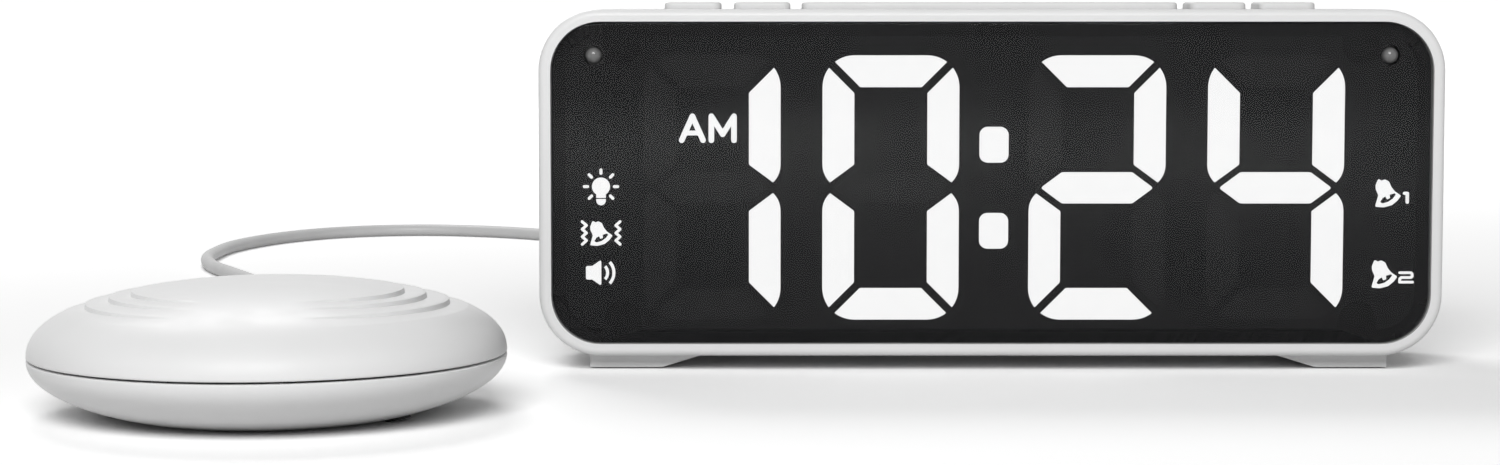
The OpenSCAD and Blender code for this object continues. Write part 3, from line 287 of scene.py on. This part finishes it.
def glowing(name, strength):
    """Milky resin lit from behind."""
    material, tree, shader = new_finish(name)
    tint(tree, noise(tree, 0.003, 3.0), (0.86, 0.87, 0.88), (0.93, 0.93, 0.93))
    polish(tree, noise(tree, 0.002), 0.4, 0.5)
    relief(tree, noise(tree, 0.0004), 0.00001)
    shader.inputs["Emission Color"].default_value = (1.0, 1.0, 1.0, 1.0)
    shader.inputs["Emission Strength"].default_value = strength
    return material


def metal(name, shade, rough, stretch=(1.0, 1.0, 1.0), grain=0.0006, depth=0.000008):
    """Bare or plated metal with the fine marks of its making, drawn along one direction."""
    material, tree, shader = new_finish(name)
    marks = noise(tree, grain, 4.0, stretch)
    tint(tree, marks, [c * 0.86 for c in shade], shade)
    polish(tree, marks, rough * 0.8, rough * 1.25)
    relief(tree, marks, depth)
    shader.inputs["Metallic"].default_value = 1.0
    return material


def circuit_board():
    """Green solder resist over copper tracks that run in straight bands."""
    material, tree, shader = new_finish("circuit_board")
    place = tree.nodes.new("ShaderNodeTexCoord")
    bricks = tree.nodes.new("ShaderNodeTexBrick")
    bricks.inputs["Scale"].default_value = 260.0
    bricks.inputs["Mortar Size"].default_value = 0.06
    bricks.inputs["Color1"].default_value = (0.012, 0.10, 0.045, 1.0)
    bricks.inputs["Color2"].default_value = (0.016, 0.13, 0.06, 1.0)
    bricks.inputs["Mortar"].default_value = (0.05, 0.24, 0.12, 1.0)
    tree.links.new(place.outputs["Object"], bricks.inputs["Vector"])
    tree.links.new(bricks.outputs["Color"], shader.inputs["Base Color"])
    polish(tree, noise(tree, 0.002), 0.3, 0.4)
    relief(tree, bricks.outputs["Fac"], 0.00003)
    return material


def ribbed_ribbon():
    """Grey flat cable: its wires show as ribs."""
    material, tree, shader = new_finish("ribbed_ribbon")
    place = tree.nodes.new("ShaderNodeTexCoord")
    ribs = tree.nodes.new("ShaderNodeTexWave")
    ribs.inputs["Scale"].default_value = 250.0
    tree.links.new(place.outputs["Object"], ribs.inputs["Vector"])
    tint(tree, ribs.outputs["Fac"], (0.42, 0.42, 0.43), (0.58, 0.58, 0.58), 0.1, 0.9)
    relief(tree, ribs.outputs["Fac"], 0.0002)
    shader.inputs["Roughness"].default_value = 0.45
    return material


def woven_strap():
    """The tie: black hook tape with a close weave."""
    material, tree, shader = new_finish("woven_strap")
    place = tree.nodes.new("ShaderNodeTexCoord")
    weave = tree.nodes.new("ShaderNodeTexChecker")
    weave.inputs["Scale"].default_value = 1800.0
    tree.links.new(place.outputs["Object"], weave.inputs["Vector"])
    tint(tree, noise(tree, 0.0008, 4.0), (0.018, 0.018, 0.019), (0.05, 0.05, 0.052))
    relief(tree, weave.outputs["Fac"], 0.0001)
    shader.inputs["Roughness"].default_value = 0.85
    return material


def cord_jacket():
    """Smooth light grey jacket with a faint drift of its shade."""
    return moulded("cord_jacket", (0.62, 0.62, 0.62), 0.42, grain=0.0009, depth=0.00001, drift=0.03)


def make_finishes():
    """Every finish by the record's slot name."""
    black = (0.016, 0.016, 0.017)
    return {
        "white_shell": white_shell(),
        "white_puck": gloss_white_puck(),
        "button_plastic": moulded("button_plastic", (0.70, 0.70, 0.70), 0.42, 0.0005, 0.00001),
        "lens": smoked_lens(),
        "black_tape": moulded("black_tape", black, 0.7, 0.0006, 0.00003, 0.05, 0.2),
        "black_plastic": moulded("black_plastic", black, 0.6, 0.0003, 0.00001, 0.05, 0.2),
        "lit_diffuser": glowing("lit_diffuser", 2.2),
        "dark_diffuser": moulded("dark_diffuser", black, 0.55, 0.0004, 0.00001, 0.05),
        "clear_lamp": moulded("clear_lamp", (0.14, 0.14, 0.14), 0.12, 0.001, 0.000003, 0.1),
        "lamp_chip": moulded("lamp_chip", (0.75, 0.72, 0.5), 0.35),
        "circuit_board": circuit_board(),
        "component_black": moulded("component_black", (0.02, 0.02, 0.022), 0.5, 0.0003, 0.00002),
        "ribbon": ribbed_ribbon(),
        "screw_steel": metal("screw_steel", (0.62, 0.62, 0.64), 0.3),
        "speaker_steel": moulded("speaker_steel", (0.10, 0.10, 0.105), 0.4, 0.0006, 0.00002),
        "speaker_paper": moulded("speaker_paper", (0.02, 0.02, 0.02), 0.9, 0.0005, 0.00008, 0.2),
        "magnet": metal("magnet", (0.3, 0.3, 0.32), 0.5, (1, 8, 1), 0.002),
        "cell_steel": metal("cell_steel", (0.72, 0.72, 0.74), 0.22, (1, 1, 12), 0.002),
        "contact_brass": metal("contact_brass", (0.75, 0.58, 0.28), 0.3),
        "pad_rubber": moulded("pad_rubber", (0.2, 0.2, 0.2), 0.8, 0.0004, 0.00005, 0.08),
        "foot_rubber": moulded("foot_rubber", (0.03, 0.03, 0.032), 0.75, 0.0004, 0.00004, 0.1),
        "motor_steel": metal("motor_steel", (0.6, 0.6, 0.62), 0.3, (14, 1, 1), 0.003),
        "bracket_plastic": moulded("bracket_plastic", (0.5, 0.5, 0.5), 0.5),
        "weight_metal": metal("weight_metal", (0.5, 0.42, 0.28), 0.5),
        "lead_wire": moulded("lead_wire", (0.4, 0.03, 0.03), 0.45),
        "cord_jacket": cord_jacket(),
        "plug_plastic": moulded("plug_plastic", (0.6, 0.6, 0.6), 0.45),
        "tie_strap": woven_strap(),
    }


def dress_cad_nodes(finishes):
    """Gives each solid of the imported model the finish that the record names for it."""
    for entry in frame["record"]["subparts"]:
        node = frame["nodes"][entry["node"]]
        finish = finishes[entry["material_slot"]]
        if not node.material_slots:
            node.data.materials.append(finish)
        for spot in node.material_slots:
            spot.material = finish


# Puck


def dome_height(radius, full_r, rise):
    """How far the dome stands above the seam at a radius."""
    inner = max(0.0, 1 - (radius / full_r) ** DOME_POWERS[0])
    return rise * inner ** (1 / DOME_POWERS[1])


def dome_line(full_r, rise, steps):
    """Points of the dome from its top to its rim."""
    line = []
    for i in range(steps + 1):
        turn = math.pi / 2 * (1 - i / steps)
        radius = full_r * max(0.0, math.cos(turn)) ** (2 / DOME_POWERS[0])
        line.append((radius, PUCK_SEAM + rise * math.sin(turn) ** (2 / DOME_POWERS[1])))
    return line


def dish_line(full_r, base_r, drop, steps):
    """Points of the dish from its rim down to its flat base."""
    line = []
    for i in range(steps + 1):
        turn = math.pi / 2 * i / steps
        radius = base_r + (full_r - base_r) * max(0.0, math.cos(turn)) ** (2 / DISH_POWERS[0])
        line.append((radius, PUCK_SEAM - drop * math.sin(turn) ** (2 / DISH_POWERS[1])))
    return line


def seam_edge(height, side):
    """A shell's edge at the seam, from outside to inside; side is 1 above it and -1 below."""
    return [
        (PUCK_R - EDGE_INSET, height + side * EDGE_HEIGHT),
        (PUCK_R - EDGE_WIDTH, height),
        (PUCK_R - PUCK_WALL, height),
    ]


def turned(line):
    """Spins a line about the vertical axis into a closed skin."""
    bm = bmesh.new()
    points = [bm.verts.new((r, 0.0, z)) for r, z in line]
    edges = [bm.edges.new(pair) for pair in zip(points, points[1:])]
    bmesh.ops.spin(
        bm, geom=points + edges, cent=(0, 0, 0), axis=(0, 0, 1),
        angle=2 * math.pi, steps=TURN_STEPS, use_merge=True,
    )
    bmesh.ops.remove_doubles(bm, verts=bm.verts, dist=1e-6)
    bmesh.ops.recalc_face_normals(bm, faces=bm.faces)
    return bm


def puck_piece(bm, name, finish, stands_for):
    """Sets a turned shell in the puck's place and makes one smooth piece of it."""
    bmesh.ops.translate(bm, verts=bm.verts, vec=PUCK_AT)
    mesh = bpy.data.meshes.new(name)
    bm.to_mesh(mesh)
    bm.free()
    mesh.materials.append(finish)
    mesh.shade_smooth()
    mesh.set_sharp_from_angle(angle=math.radians(SHARP_ANGLE))
    piece = bpy.data.objects.new(name, mesh)
    bpy.context.scene.collection.objects.link(piece)
    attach(piece, "clock_and_puck")
    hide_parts(stands_for)


def crescent_drop(x, y):
    """How deep the scoops cut at a place: a short wall inside, a long ramp outside.

    They are deepest at the puck's left and right and fade out toward its front and back.
    """
    radius = math.hypot(x, y)
    if radius < CRESCENTS[0][0]:
        return 0.0
    side = max(0.0, (3 * abs(x) / radius - 1) / 2)
    for start, end in CRESCENTS:
        if start < radius < end:
            return CRESCENT_DEPTH * side * (end - radius) / (end - start)
    return 0.0


def upper_line():
    """Section of the upper shell: outside from the top to the rim, then back inside."""
    rise = PUCK_TOP - PUCK_SEAM
    outside = dome_line(PUCK_R, rise, DOME_STEPS)
    rings = [start + step for start, _ in CRESCENTS for step in RINGS_AT_START]
    rings += [end + step for _, end in CRESCENTS for step in RINGS_AT_END]
    outside += [(r, PUCK_SEAM + dome_height(r, PUCK_R, rise)) for r in rings]
    floor = PUCK_SEAM + SEAM_HALF_GAP
    outside = sorted(p for p in outside if p[1] > floor + EDGE_WIDTH)
    inside = dome_line(PUCK_R - PUCK_WALL, rise - PUCK_WALL, INSIDE_STEPS)
    inside = [p for p in inside if p[1] > floor + EDGE_WIDTH]
    return outside + seam_edge(floor, 1) + inside[::-1]


def lower_line():
    """Section of the lower shell: inside from the middle to the rim, then back outside."""
    roof = PUCK_SEAM - SEAM_HALF_GAP
    outside = dish_line(PUCK_R, PUCK_BASE_R, PUCK_SEAM, DISH_STEPS)
    outside = [p for p in outside if p[1] < roof - EDGE_WIDTH]
    inside = dish_line(PUCK_R - PUCK_WALL, INNER_BASE_R, PUCK_SEAM - PUCK_WALL, INSIDE_STEPS)
    inside = [p for p in inside if p[1] < roof - EDGE_WIDTH]
    rim = seam_edge(roof, -1)[::-1]
    return [(0.0, PUCK_WALL)] + inside[::-1] + rim + outside + [(0.0, 0.0)]


def puck_upper_shell(finish):
    """The dome, with three crescent scoops to the left and to the right of its top."""
    bm = turned(upper_line())
    rise = PUCK_TOP - PUCK_SEAM
    for vert in bm.verts:
        radius = math.hypot(vert.co.x, vert.co.y)
        if vert.co.z > PUCK_SEAM + dome_height(radius, PUCK_R, rise) - SKIN_DEPTH:
            vert.co.z -= crescent_drop(vert.co.x, vert.co.y)
    puck_piece(bm, "puck_upper", finish, "puck_top_shell")


def puck_lower_shell(finish):
    """The dish with its flat base."""
    puck_piece(turned(lower_line()), "puck_lower", finish, "puck_bottom_shell")


# Studio


def seen_directly(tree):
    """1 for what the camera, a gloss or a clear piece looks at, else 0."""
    path = tree.nodes.new("ShaderNodeLightPath")
    total = path.outputs["Is Camera Ray"]
    for name in ("Is Glossy Ray", "Is Transmission Ray"):
        either = tree.nodes.new("ShaderNodeMath")
        either.operation = "MAXIMUM"
        tree.links.new(total, either.inputs[0])
        tree.links.new(path.outputs[name], either.inputs[1])
        total = either.outputs["Value"]
    return total


def blend_numbers(tree, factor, low, high):
    """A number that goes from low to high as a factor goes from 0 to 1."""
    span = tree.nodes.new("ShaderNodeMapRange")
    span.inputs["To Min"].default_value = low
    span.inputs["To Max"].default_value = high
    tree.links.new(factor, span.inputs["Value"])
    return span.outputs["Result"]


def white_room():
    """A world that shows as white and lights the scene only faintly."""
    world = bpy.data.worlds.new("white_room")
    bpy.context.scene.world = world
    world.use_nodes = True
    tree = world.node_tree
    background = tree.nodes["Background"]
    background.inputs["Color"].default_value = (1.0, 1.0, 1.0, 1.0)
    strength = blend_numbers(tree, seen_directly(tree), ROOM_LIGHT, 1.0)
    tree.links.new(strength, background.inputs["Strength"])


def far_away(tree, near, far):
    """0 near the middle of the table and 1 far from it."""
    place = tree.nodes.new("ShaderNodeTexCoord")
    length = tree.nodes.new("ShaderNodeVectorMath")
    length.operation = "LENGTH"
    span = tree.nodes.new("ShaderNodeMapRange")
    span.inputs["From Min"].default_value = near
    span.inputs["From Max"].default_value = far
    tree.links.new(place.outputs["Object"], length.inputs[0])
    tree.links.new(length.outputs["Value"], span.inputs["Value"])
    return span.outputs["Result"]


def table_finish():
    """White that keeps the shadows; far off it glows, so it meets the room without a line."""
    material, tree, shader = new_finish("table_top")
    shader.inputs["Roughness"].default_value = 0.6
    shader.inputs["Specular IOR Level"].default_value = 0.0
    shader.inputs["Emission Color"].default_value = (1.0, 1.0, 1.0, 1.0)
    watched = seen_directly(tree)
    shade = blend_numbers(tree, watched, TABLE_BOUNCE, TABLE_SEEN)
    tree.links.new(shade, shader.inputs["Base Color"])
    glow = tree.nodes.new("ShaderNodeMath")
    glow.operation = "MULTIPLY"
    tree.links.new(watched, glow.inputs[0])
    tree.links.new(blend_numbers(tree, far_away(tree, *TABLE_FADE), 0.0, 1.0), glow.inputs[1])
    tree.links.new(glow.outputs["Value"], shader.inputs["Emission Strength"])
    return material


def pale_floor():
    """The wide plain table under everything."""
    bm = bmesh.new()
    bmesh.ops.create_grid(bm, x_segments=1, y_segments=1, size=TABLE_HALF_SIZE)
    mesh = bpy.data.meshes.new("table_top")
    bm.to_mesh(mesh)
    bm.free()
    mesh.materials.append(table_finish())
    floor = bpy.data.objects.new("table_top", mesh)
    bpy.context.scene.collection.objects.link(floor)


def soft_light(name, place, width, height, power):
    """A soft box that looks at the middle of the object."""
    middle = Vector((0.0, 0.03, 0.03))
    data = bpy.data.lights.new(name, "AREA")
    data.shape = "RECTANGLE"
    data.size = width
    data.size_y = height
    data.energy = power
    light = bpy.data.objects.new(name, data)
    light.location = place
    light.rotation_euler = (middle - Vector(place)).to_track_quat("-Z", "Y").to_euler()
    bpy.context.scene.collection.objects.link(light)


def studio_lights():
    """A weak light high behind on the left and a strong one high in front."""
    soft_light("behind", (-0.35, 0.85, 0.9), width=0.5, height=0.35, power=3.8)
    soft_light("front", (-0.1, -1.15, 0.8), width=0.8, height=0.6, power=15.0)


# Assembly

bpy.context.scene.view_settings.view_transform = "Standard"
place_camera()
finishes = make_finishes()
shaker_cord(finishes["cord_jacket"])
dress_cad_nodes(finishes)
puck_upper_shell(finishes["white_puck"])
puck_lower_shell(finishes["white_puck"])
white_room()
pale_floor()
studio_lights()
